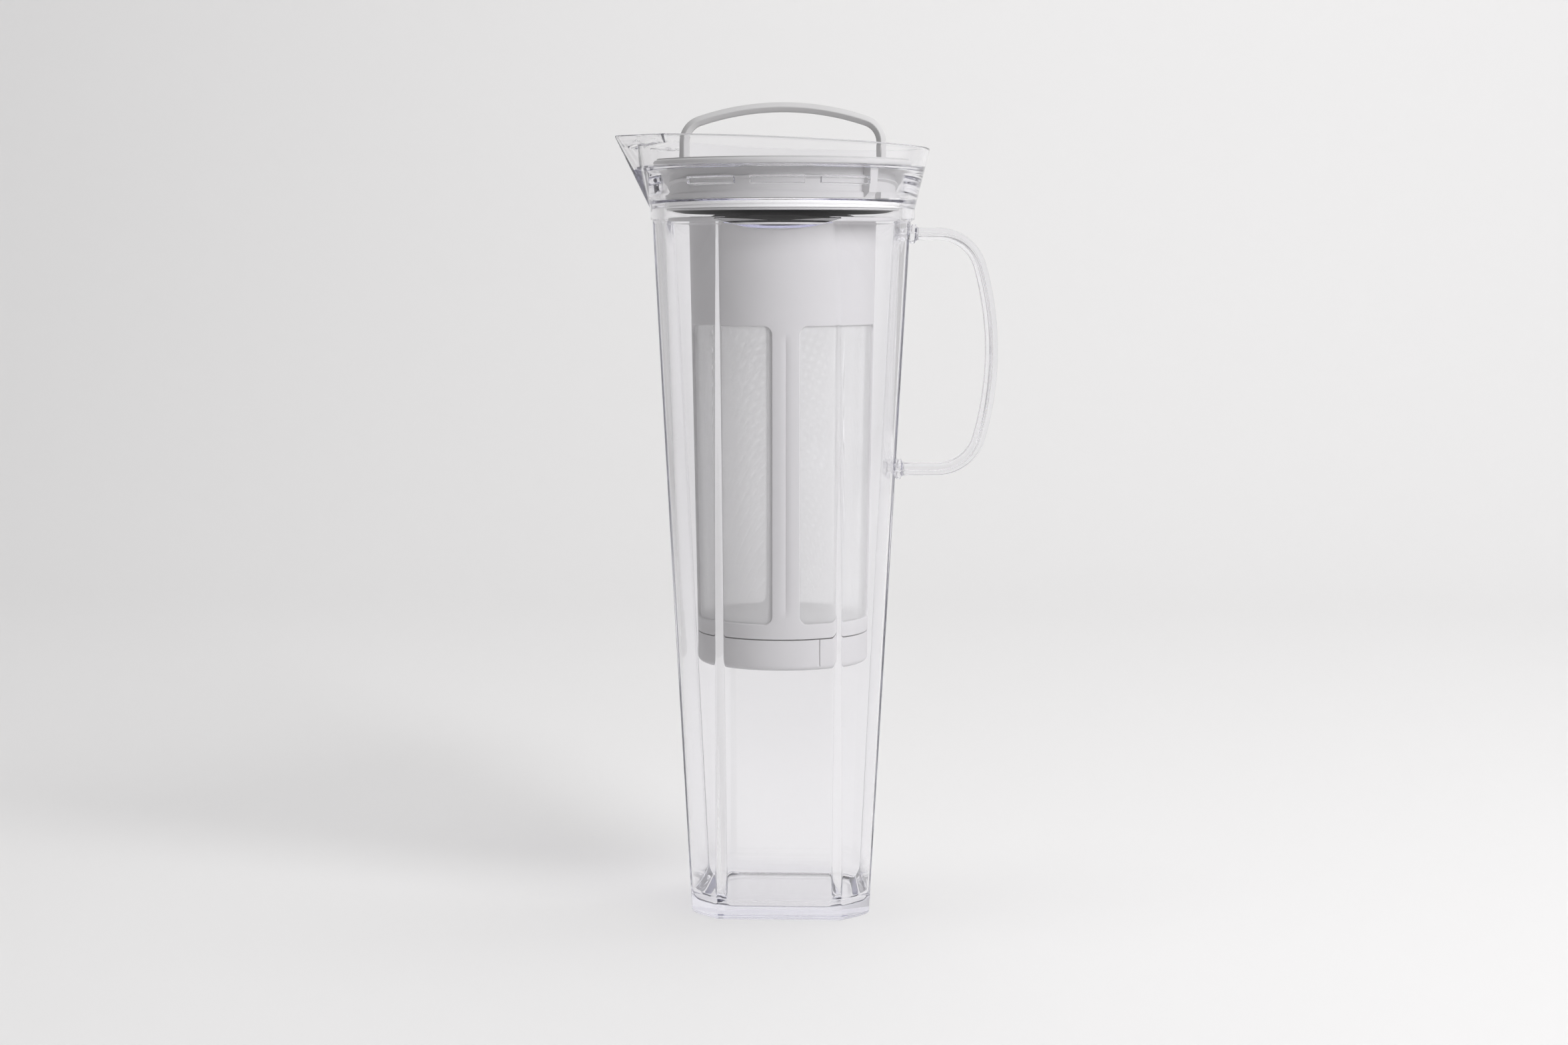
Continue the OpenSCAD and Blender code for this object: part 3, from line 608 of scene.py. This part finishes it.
# rings of points round one window, as angle from its middle, radius and height: the outline with round corners, grown
# outward and blended toward the rectangle half way to its neighbours, whose corners take the spread-out corner arcs
def windowRows():
    s = strainer
    midZ, halfZ = 0.5 * (s["windowZ"] + s["windowTop"]), 0.5 * (s["windowTop"] - s["windowZ"])
    midR = sleeveR(midZ)
    ribX = midR * math.radians(45)   # the rib's centre line, measured round the sleeve from the window's middle
    halfX = ribX - midR * math.asin(s["ribHalf"] / midR)
    cx, cz = halfX - s["corner"], halfZ - s["corner"]
    psi = np.radians(np.linspace(0, 90, 13))
    rightZ = np.linspace(0, cz, 31)[:-1]
    topX = np.linspace(cx, 0, 21)[1:-1]
    spread = np.tan(np.minimum(psi, np.pi / 2 - psi))
    lowSide = psi <= np.pi / 4 + 1e-9
    pairs = lambda x, z: np.stack(np.broadcast_arrays(x, z), axis=1)

    # up the right side, round the corner and along the top to the middle
    def corner(grow, blend, farZ):
        arcR = s["corner"] + grow
        near = np.concatenate([pairs(halfX + grow, rightZ), pairs(cx + arcR * np.cos(psi), cz + arcR * np.sin(psi)),
                               pairs(topX, halfZ + grow)])
        farCorner = pairs(np.where(lowSide, ribX, cx + (ribX - cx) * spread),
                          np.where(lowSide, cz + (farZ - cz) * spread, farZ))
        far = np.concatenate([pairs(ribX, rightZ), farCorner, pairs(topX, farZ)])
        return near * (1 - blend) + far * blend

    def ring(grow, blend, depth, line=0.0):
        up, down = corner(grow, blend, s["meetHigh"] - midZ), corner(grow, blend, midZ - s["meetLow"])
        trace = np.concatenate([up, [[0, up[-1, 1]]], (up * [-1, 1])[::-1], (down * [-1, -1])[1:],
                                [[0, -down[-1, 1]]], (down * [1, -1])[::-1][:-1]])
        z = midZ + trace[:, 1]
        r = sleeveR(z)
        fromRib = ribX - np.abs(trace[:, 0])   # kept as a length, so that the ribs' edges stay upright
        angle = np.where(np.abs(trace[:, 0]) < 1e-9, 0, np.sign(trace[:, 0]) * (math.radians(45) - fromRib / r))
        return angle, r - depth - line * ((fromRib < 1e-6) & (np.abs(trace[:, 1]) < cz)), z

    e, w = s["edge"], s["wall"]
    arc = np.radians(np.linspace(0, 90, 5))
    rows = [ring(e, 1.0, 0, s["mouldLine"]), ring(e, 0.94, 0), ring(e, 0.5, 0)]
    rows += [ring(e * (1 - math.sin(a)), 0, e * (1 - math.cos(a))) for a in arc]
    rows += [ring(e * (1 - math.sin(a)), 0, w - e * (1 - math.cos(a))) for a in arc[::-1]]
    return rows + [ring(e, 0.5, w), ring(e, 1.0, w)]


def makeStrainer():
    s = strainer
    rows = windowRows()
    angle = np.stack([row[0] for row in rows])
    r = np.stack([row[1] for row in rows])
    z = np.stack([row[2] for row in rows])
    verts, faces, base = [], [], 0
    quads = gridQuads(*angle.shape)[:, ::-1]
    for k in range(4):
        a = angle + math.radians(45 + 90 * k + s["ribTurn"])
        part = np.stack([r * np.cos(a), r * np.sin(a), z], axis=-1).reshape(-1, 3)
        verts.append(part)
        faces.append(quads + base)
        base += len(part)
    # the sleeve and the lower ring take their columns from the windows' outer loops, so that the seams close
    outerLoop, outerZ = angle[0], z[0]
    for level, profile in ((s["meetHigh"], "sleeve"), (s["meetLow"], "ring")):
        mine = np.unique(np.round(np.degrees(outerLoop[np.abs(outerZ - level) < 1e-6]) + 45, 9))
        theta = np.unique(np.round(np.concatenate([mine + 90 * k for k in range(4)]) % 360, 7)) + s["ribTurn"]
        if profile == "sleeve":
            high = s["flangeZ"] + s["flangeT"]
            line = roundedOutline([
                (sleeveR(level), level, 0), (s["topR"], s["flangeZ"], 1.2), (s["flangeR"], s["flangeZ"], 0.4),
                (s["flangeR"], high, 0.4), (s["topR"] - s["wall"], high, 0.5),
                (sleeveR(level) - s["wall"], level, 0)])
        else:
            line = roundedOutline([
                (sleeveR(level) - s["wall"], level, 0), (s["spigotR"] - s["wall"], s["ringZ"] - 1, 1.0),
                (s["spigotR"] - s["wall"], s["spigotZ"], 0.3), (s["spigotR"], s["spigotZ"], 0.3),
                (s["spigotR"], s["ringZ"], 0.2), (s["lowR"], s["ringZ"], 0.15), (sleeveR(level), level, 0)])
        part = spun(line, theta)
        verts.append(part.reshape(-1, 3))
        faces.append(gridQuads(*part.shape[:2]) + base)
        base += part.shape[0] * part.shape[1]
    putPiece("strainerFrame", np.concatenate(verts), np.concatenate(faces), "strainer", greyStrainer,
             "strainer_frame", sharp=45)


makeStrainer()

panel = dict(thick=0.3, tuck=0.9, rows=24, cols=28)


# one panel of mesh: a strip of the cone between two ribs, its edges tucked into the frame's wall
def makePanel(name, start, node):
    s = strainer
    z = np.linspace(s["windowZ"] - panel["tuck"], s["windowTop"] + panel["tuck"], panel["rows"])[:, None]
    r = sleeveR(z) - s["wall"] / 2
    edge = np.arcsin((s["ribHalf"] - panel["tuck"]) / r)
    across = np.linspace(0, 1, panel["cols"])[None, :]
    a = math.radians(start + s["ribTurn"]) + edge + (math.pi / 2 - 2 * edge) * across
    sheet = lambda d: np.stack([(r + d) * np.cos(a), (r + d) * np.sin(a), z + 0 * a], axis=-1)
    skins = np.stack([sheet(panel["thick"] / 2), sheet(-panel["thick"] / 2)])
    rows, cols = panel["rows"], panel["cols"]
    front = gridQuads(rows, cols, closeCols=False)
    back = front[:, ::-1] + rows * cols
    ring = np.concatenate([np.arange(cols), np.arange(2 * cols - 1, rows * cols, cols),
                           np.arange(rows * cols - 2, (rows - 1) * cols - 1, -1),
                           np.arange((rows - 2) * cols, 0, -cols)])
    after = np.roll(ring, -1)
    rim = np.stack([after, ring, ring + rows * cols, after + rows * cols], axis=1)
    faces = np.concatenate([front, back, rim])
    piece = putPiece(name, skins, faces, "strainer", panelNylon, node, sharp=40)
    # the panel's own map, in metres along its width and height
    mesh = piece.data
    place = np.empty(len(mesh.vertices) * 3)
    mesh.vertices.foreach_get("co", place)
    place = place.reshape(-1, 3)
    corner = np.empty(len(mesh.loops), int)
    mesh.loops.foreach_get("vertex_index", corner)
    turn = np.arctan2(place[:, 1], place[:, 0]) - math.radians(start + s["ribTurn"])
    turn = (turn + math.pi) % (2 * math.pi) - math.pi
    flat = np.stack([turn * np.hypot(place[:, 0], place[:, 1]), place[:, 2]], axis=1)
    layer = mesh.uv_layers.new(name="panelMap")
    layer.data.foreach_set("uv", flat[corner].ravel())


for name, start, node in (("meshFrontRight", 270, "mesh_front_right"), ("meshBackRight", 0, "mesh_back_right"),
                          ("meshBackLeft", 90, "mesh_back_left"), ("meshFrontLeft", 180, "mesh_front_left")):
    makePanel(name, start, node)

cap = dict(radius=31.86, low=93.3, top=104.6, floor=2.0, inner=29.86, edge=2.0, inEdge=1.0, lip=0.15, markAt=-63.0,
           markWide=1.0, markDeep=0.5)


# the cap: a cup's profile turned round the axis, with one narrow groove pressed into its outside
def makeCap():
    c = cap
    half = math.degrees(0.5 * c["markWide"] / c["radius"])
    theta = stepAngles(180, [c["markAt"] - half, c["markAt"] + half])
    onMark = inSpans(theta, [(c["markAt"] - half, c["markAt"] + half)])
    line = roundedOutline([(0, c["low"], 0), (c["radius"], c["low"], c["edge"]), (c["radius"], c["top"], c["lip"]),
                           (c["inner"], c["top"], c["lip"]), (c["inner"], c["low"] + c["floor"], c["inEdge"]),
                           (0, c["low"] + c["floor"], 0)])
    marked = lambda r, z: r > c["inner"] + 0.9 and z > c["low"] + c["edge"] - 0.01
    rows = [(r - c["markDeep"] * onMark * marked(r, z), z) for r, z in line]
    putPiece("strainerCap", spun(rows, theta), gridQuads(len(rows), len(theta)), "cap", greyStrainer,
             "strainer_cap", sharp=40)


makeCap()


lid = dict(plateR=47.8, plateZ=276.5, plateTop=279.3, crown=1.2, plateEdge=1.0, grooveR=42.6, bandR=43.4,
           bandTop=267.8, bandLow=264.7, bandSlope=0.9, ridgeZ=273.1, ridgeHalf=0.8, ridgeFlat=0.15, ridgeR=43.5,
           ringR=41.2, underTop=261.2, plugIn=39.6, stopR=45.6, stopSpan=4.78, stopAt=42.9, camGap=2.6, camSpan=11.0,
           front=-90.0)


# the lid's shell: a profile turned round the axis, with ribs and cams where the profile steps out between two angles
def makeLid():
    d = lid
    stops, cams = [], []
    for side in (0, 180):
        rib = d["front"] + side + d["stopAt"]
        stops.append((rib, rib + d["stopSpan"]))
        cam = rib + d["stopSpan"] + d["camGap"]
        cams.append((cam, cam + d["camSpan"]))
    theta = stepAngles(240, [a for span in stops + cams for a in span])
    onStop, onCam = inSpans(theta, stops), inSpans(theta, cams)
    line = roundedOutline([
        (d["plugIn"], d["plateZ"], 0.3), (d["plugIn"], d["underTop"], 0.2), (d["ringR"], d["underTop"], 0.2),
        (d["ringR"], d["bandLow"], 0.2), (d["bandR"], d["bandLow"], 0.3),
        (d["bandR"], d["bandTop"] - d["bandSlope"] / 2, 0.15), (d["grooveR"], d["bandTop"] + d["bandSlope"] / 2, 0.3),
        (d["grooveR"], d["ridgeZ"] - d["ridgeHalf"], 0.2), (d["ridgeR"], d["ridgeZ"] - d["ridgeFlat"], 0.1),
        (d["ridgeR"], d["ridgeZ"] + d["ridgeFlat"], 0.1), (d["grooveR"], d["ridgeZ"] + d["ridgeHalf"], 0.2),
        (d["grooveR"], d["plateZ"], 0.4), (d["plateR"], d["plateZ"], d["plateEdge"]),
        (d["plateR"], d["plateTop"], d["plateEdge"])])
    rise = np.linspace(d["plateR"] - d["plateEdge"] - 0.3, 0, 14)
    crown = np.stack([rise, d["plateTop"] + d["crown"] * (1 - (rise / d["plateR"]) ** 2)], axis=1)
    start = np.array([[0, d["plateZ"]], [d["plugIn"] - 1, d["plateZ"]]])
    line = np.concatenate([start, line, crown])
    rows, insideRows = [], 12   # the first rows run down the inside and under the plug
    for k, (r, z) in enumerate(line):
        outside = k > insideRows
        grooveRow = outside and d["bandTop"] - d["bandSlope"] < z < d["plateZ"] + 0.01 and r < d["stopR"]
        camRow = outside and d["bandLow"] + 0.25 < z < d["bandTop"] + d["bandSlope"] / 4 and r > d["ringR"] + 1
        proud = np.maximum(onStop * grooveRow, onCam * camRow)
        rows.append((r + proud * (d["stopR"] - r), z))
    putPiece("lidCap", spun(rows, theta), gridQuads(len(rows), len(theta)), "lid", greyLid, "lid_cap",
             sharp=40)


makeLid()

lidUnder = dict(radius=43.0, low=260.3, edgeLow=260.5, edge=0.25, top=261.2, ringR=39.5, ringWall=1.4, ringTop=267.6,
                paintedShadeR=41.0, sag=1.0, sagPower=14)


# the lid's bottom: a plate with an upright ring, turned round the axis; its underside sags as a flat bowl, whose
# depth falls with a high power of the radius, and the bowl is painted near black as painted shade
def makeLidBase():
    d = lidUnder
    out = d["paintedShadeR"] * np.sin(np.linspace(0, np.pi / 2, 24))
    bowl = np.stack([out, d["low"] - d["sag"] * (1 - (out / d["paintedShadeR"]) ** d["sagPower"])], axis=1)
    ringIn = d["ringR"] - d["ringWall"]
    rest = roundedOutline([(d["paintedShadeR"], d["low"], 0), (d["radius"], d["edgeLow"], d["edge"]),
                           (d["radius"], d["top"], d["edge"]), (d["ringR"], d["top"], 0.2),
                           (d["ringR"], d["ringTop"], 0.3), (ringIn, d["ringTop"], 0.3), (ringIn, d["top"], 0.3),
                           (0, d["top"], 0)])
    line = np.concatenate([bowl, rest[1:]])
    theta = stepAngles(160, [])
    piece = putPiece("lidBase", spun(line, theta), gridQuads(len(line), len(theta)), "lid", greyLid,
                     "lid_base", sharp=40)
    # the faces of the sagging underside take a near-black painted shade
    piece.data.materials.append(paintedShadeUnderside)
    middle = np.empty(len(piece.data.polygons) * 3)
    piece.data.polygons.foreach_get("center", middle)
    under = middle.reshape(-1, 3) / mm
    onPaintedShade = (under[:, 2] < d["low"]) & (np.hypot(under[:, 0], under[:, 1]) < d["paintedShadeR"])
    piece.data.polygons.foreach_set("material_index", onPaintedShade.astype(np.int32))


makeLidBase()

gasket = dict(core=41.5, radius=43.6, low=261.35, top=264.55, lip=0.7, notch=0.6, notchHalf=0.15)


# the sealing ring: two round lips with a notch between them, turned round the axis
def makeGasket():
    g = gasket
    mid = 0.5 * (g["low"] + g["top"])
    inLip = g["lip"] - 0.1
    line = roundedOutline([
        (g["core"], g["low"], 0.2), (g["radius"], g["low"], g["lip"]), (g["radius"], mid - g["notchHalf"], inLip),
        (g["radius"] - g["notch"], mid, 0.12), (g["radius"], mid + g["notchHalf"], inLip),
        (g["radius"], g["top"], g["lip"]), (g["core"], g["top"], 0.2)])
    theta = stepAngles(180, [])
    putPiece("lidGasket", spun(line, theta), gridQuads(len(line), len(theta), closeRows=True), "seal",
             whiteSilicone, "lid_gasket", sharp=50)


makeGasket()

loop = dict(wide=76.4, height=21.0, thick=3.6, strap=5.4, bend=10.0, bow=97.0, foot=1.6, bond=0.1, edge=0.9,
            slant=1.5, ridge=0.4)


# a strap along two legs, two bends and a bow, its legs standing through the plate on feet
def makeLoop():
    p = loop
    legX = 0.5 * (p["wide"] - p["thick"])
    topZ = lid["plateTop"] + p["height"]
    bowZ = topZ - p["thick"] / 2 - p["bow"]
    bendR = p["bend"] - p["thick"] / 2
    bendX = legX - bendR
    bendZ = bowZ + math.sqrt((p["bow"] - bendR) ** 2 - bendX ** 2)
    turn = math.degrees(math.acos(bendX / (p["bow"] - bendR)))
    footZ = lid["plateZ"] - p["bond"] - p["foot"]
    leg = lambda s: np.stack([np.full(8, s * legX), np.linspace(footZ, bendZ, 9)[:-1]], axis=1)
    path = np.concatenate([leg(1), arcPoints((bendX, bendZ), bendR, 0, turn, 14)[:-1],
                           arcPoints((0, bowZ), p["bow"], turn, 180 - turn, 41)[:-1],
                           arcPoints((-bendX, bendZ), bendR, 180 - turn, 180, 14), leg(-1)[::-1]])
    t, w, e = p["thick"] / 2, p["strap"] / 2, p["edge"]
    # the faces toward the front and back rise to a soft ridge half way
    side, ridge = w - p["slant"], p["ridge"]
    section = roundedOutline([(t, -side, e), (t, side, e), (0, w, ridge), (-t, side, e), (-t, -side, e),
                              (0, -w, ridge)])
    shape = sweptRings(path, section)
    faces = sweptFaces(len(path), len(section))
    putPiece("lidLoop", shape, faces, "lid", greyLid, "lid_loop", sharp=50)


makeLoop()

sky = dict(colour=(0.97, 0.96, 0.96), strength=0.23, seen=0.84, mirroredFront=0.25, frontAt=-0.9, backAt=0.1)


# a world that lights softly and shows as a pale backdrop to the camera, in reflections and through the clear plastic
def makeSky():
    world = bpy.data.worlds.new("studio")
    bpy.context.scene.world = world
    world.use_nodes = True
    tree = world.node_tree
    shade = tree.nodes["Background"]
    fix(shade, {"Color": (*sky["colour"], 1)})
    path = tree.nodes.new("ShaderNodeLightPath")
    seen = [mathNode(tree, "MAXIMUM") for _ in range(2)]
    level = rangeNode(tree, target=(sky["strength"], sky["seen"]))
    # mirrored rays meet a room that is dim in front of the jug and pale behind it
    at = tree.nodes.new("ShaderNodeTexCoord")
    split = tree.nodes.new("ShaderNodeSeparateXYZ")
    room = rangeNode(tree, (sky["frontAt"], sky["backAt"]), (sky["mirroredFront"], sky["seen"]))
    pick = rangeNode(tree, target=(sky["seen"], sky["seen"]))
    wire(tree, (at, "Object", split, 0), (split, "Y", room, "Value"), (path, "Is Glossy Ray", pick, "Value"),
         (room, "Result", pick, "To Max"), (pick, "Result", level, "To Max"), (path, "Is Camera Ray", seen[0], 0),
         (path, "Is Glossy Ray", seen[0], 1), (seen[0], 0, seen[1], 0), (path, "Is Transmission Ray", seen[1], 1),
         (seen[1], 0, level, "Value"), (level, "Result", shade, "Strength"))


makeSky()

stage = dict(floor=(0.86, 0.855, 0.855), roughness=0.9, specular=0.1, reach=4.0, wallY=1.6, bend=0.8, height=3.0,
             drop=0.0003, litMiddle=(0.0, 0.9), litHalf=(1.28, 1.15), anyHeight=1e6, fade=(1.0, 1.35), shade=0.55,
             shadeSpan=(1.2, 3.0))


# a sheet of floor that turns up into a wall behind: flat, then a quarter of a circle, then upright
def makeStage():
    s = stage
    a = np.linspace(0, np.pi / 2, 24)
    y = np.concatenate([[-s["reach"]], s["wallY"] - s["bend"] + s["bend"] * np.sin(a), [s["wallY"]]])
    z = np.concatenate([[0], s["bend"] * (1 - np.cos(a)), [s["height"]]]) - s["drop"]
    x = np.array([-s["reach"], s["reach"]])
    verts = np.stack(np.broadcast_arrays(x[None, :], y[:, None], z[:, None]), axis=-1)
    mesh = bpy.data.meshes.new("studioSheet")
    mesh.from_pydata(verts.reshape(-1, 3).tolist(), [], gridQuads(len(y), 2, closeCols=False).tolist())
    mesh.polygons.foreach_set("use_smooth", np.ones(len(mesh.polygons), bool))
    material, tree, shader = newMaterial("studioPaper")
    fix(shader, {"Base Color": (*s["floor"], 1), "Roughness": s["roughness"], "Specular IOR Level": s["specular"]})
    # outside an oval round the object the sheet has a tone of its own for the eye, a shade deeper first, which gives
    # the clear walls their lines, and then the sky's, so that it ends without an edge
    where, oval = tree.nodes.new("ShaderNodeTexCoord"), tree.nodes.new("ShaderNodeMapping")
    oval.vector_type = "TEXTURE"
    fix(oval, {"Location": (*s["litMiddle"], 0), "Scale": (*s["litHalf"], s["anyHeight"])})
    away = tree.nodes.new("ShaderNodeVectorMath")
    away.operation = "LENGTH"
    fade = rangeNode(tree, s["fade"])
    fade.interpolation_type = "SMOOTHSTEP"
    path = tree.nodes.new("ShaderNodeLightPath")
    dim = mathNode(tree, "MULTIPLY_ADD", {1: -1, 2: 1})
    share = mathNode(tree, "MULTIPLY")
    glow, mix = tree.nodes.new("ShaderNodeEmission"), tree.nodes.new("ShaderNodeMixShader")
    fix(glow, {"Color": (*sky["colour"], 1)})
    tone = rangeNode(tree, s["shadeSpan"], (s["shade"], sky["seen"]))
    material.cycles.emission_sampling = "NONE"
    wire(tree, (where, "Object", oval, "Vector"), (oval, "Vector", away, 0), (away, "Value", fade, "Value"),
         (away, "Value", tone, "Value"), (tone, "Result", glow, "Strength"), (path, "Is Diffuse Ray", dim, 0),
         (fade, "Result", share, 0), (dim, 0, share, 1), (share, 0, mix, "Fac"), (shader, "BSDF", mix, 1),
         (glow, "Emission", mix, 2), (mix, "Shader", tree.nodes["Material Output"], "Surface"))
    mesh.materials.append(material)
    sheet = bpy.data.objects.new("studioSheet", mesh)
    bpy.context.scene.collection.objects.link(sheet)


makeStage()

lamps = dict(
    key=dict(at=(1.5, -1.3, 1.3), size=(1.5, 1.5), power=51.0, toward=(0, 0, 0.15), mirrored=False),
    glint=dict(at=(0.7, -0.7, 2.2), size=(0.7, 0.7), power=3.5, toward=(0, 0, 0.2), mirrored=True),
    top=dict(at=(0.3, 0.3, 2.0), size=(1.6, 1.2), power=4.0, toward=(0, 0, 0.1), mirrored=False),
    back=dict(at=(0.1, 0.2, 2.3), size=(2.4, 0.8), power=12.0, toward=(-0.3, 1.6, 0.9), mirrored=False))


def makeLamps():
    for name, spec in lamps.items():
        light = bpy.data.lights.new(name, "AREA")
        light.shape = "RECTANGLE"
        light.size, light.size_y = spec["size"]
        light.energy = spec["power"]
        lamp = bpy.data.objects.new(name, light)
        lamp.location = spec["at"]
        lamp.visible_glossy = spec["mirrored"]
        lamp.visible_diffuse = not spec["mirrored"]
        lamp.visible_transmission = False
        lamp.rotation_euler = (Vector(spec["toward"]) - Vector(spec["at"])).to_track_quat("-Z", "Y").to_euler()
        bpy.context.scene.collection.objects.link(lamp)


makeLamps()

view = dict(away=0.95, height=0.247, aside=0.0005, pitch=6.165, yaw=2.3, focal=3818.0, imageWide=2353, sensor=36.0)
camera = bpy.data.cameras.new("photoView")
camera.sensor_width = view["sensor"]
camera.sensor_fit = "HORIZONTAL"
camera.lens = view["focal"] / view["imageWide"] * view["sensor"]
camera.clip_end = 20
cameraObject = bpy.data.objects.new("photoView", camera)
yaw = math.radians(view["yaw"])
cameraObject.location = (view["away"] * math.sin(yaw) + view["aside"] * math.cos(yaw),
                         view["aside"] * math.sin(yaw) - view["away"] * math.cos(yaw), view["height"])
cameraObject.rotation_euler = (math.radians(90 - view["pitch"]), 0, yaw)
bpy.context.scene.collection.objects.link(cameraObject)
bpy.context.scene.camera = cameraObject
bpy.context.scene.view_settings.view_transform = "Standard"
# enough bounces for light that runs along inside the clear walls
bounces = dict(max_bounces=40, glossy_bounces=24, transmission_bounces=28, transparent_max_bounces=32)
for kind, most in bounces.items():
    setattr(bpy.context.scene.cycles, kind, most)
print("stage ready")
